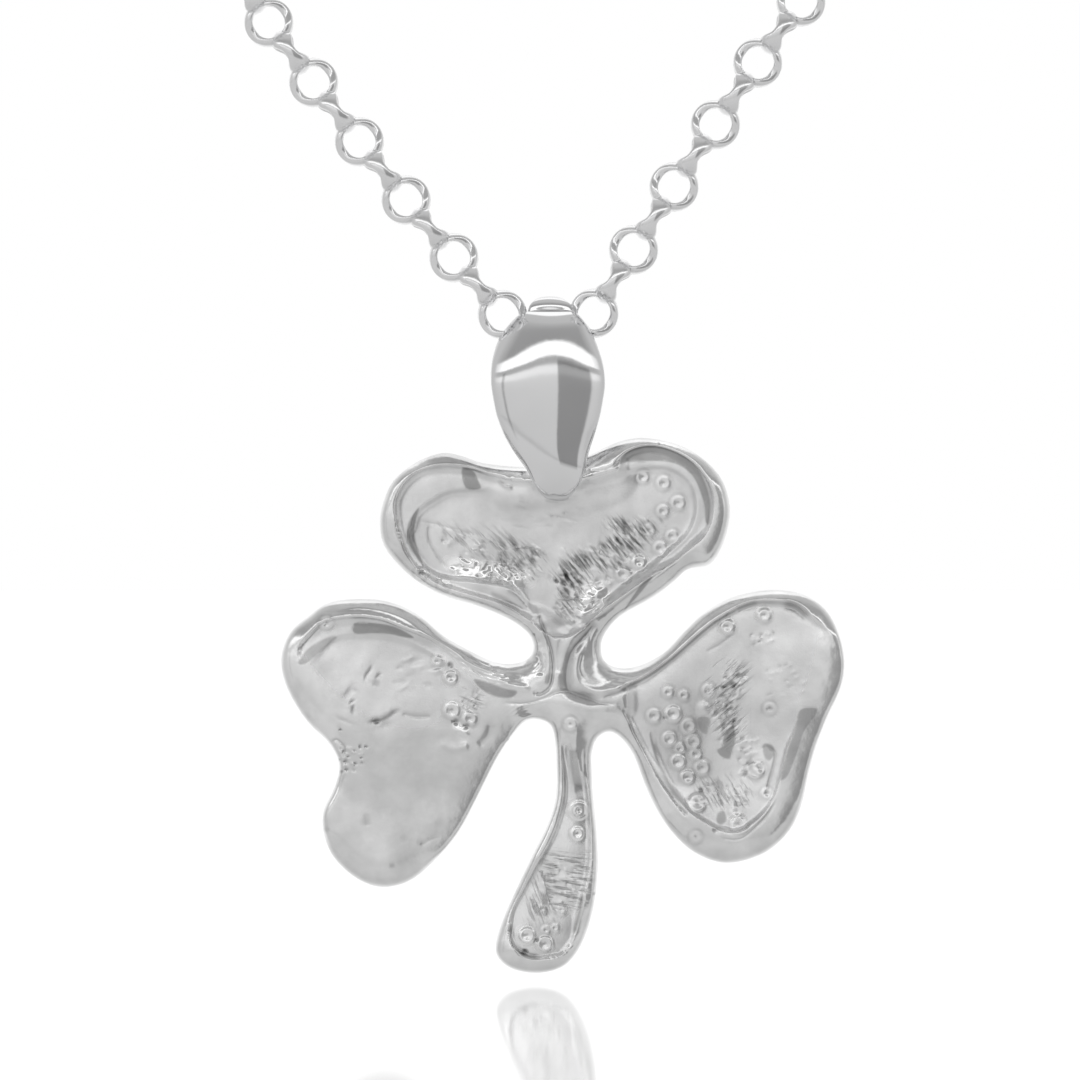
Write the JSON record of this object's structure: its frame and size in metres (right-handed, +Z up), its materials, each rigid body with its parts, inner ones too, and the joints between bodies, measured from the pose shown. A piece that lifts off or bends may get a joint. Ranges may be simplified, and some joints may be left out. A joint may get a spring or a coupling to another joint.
{
  "type": "pendant necklace",
  "caption": "Silver necklace: a cast shamrock pendant swings from its pear-shaped bail on a closed round-link chain with a bolt-ring clasp.",
  "frame": {"origin": "the nape: middle of the loop's highest stretch, where the chain rests on the back of the neck", "axes": "+Z up, -Y the way the pendant's front faces, +X to the right seen from the front"},
  "size_m": [0.131, 0.1148, 0.1424],
  "materials": {
    "cast_silver": "polished cast sterling silver with satin basins",
    "chain_silver": "polished sterling silver"
  },
  "bodies": {
    "necklace": {"chain": "chain_silver", "end_ring": "chain_silver", "clasp": "chain_silver", "clasp_ring": "chain_silver"},
    "pendant": {"pendant": "cast_silver"}
  },
  "joints": [
    {"name": "pendant_swing", "type": "hinge", "parent": "necklace", "child": "pendant", "pos_m": [0.00128, -0.10826, -0.10364], "axis": [1, 0, 0], "range_deg": [-25, 25]}
  ]
}
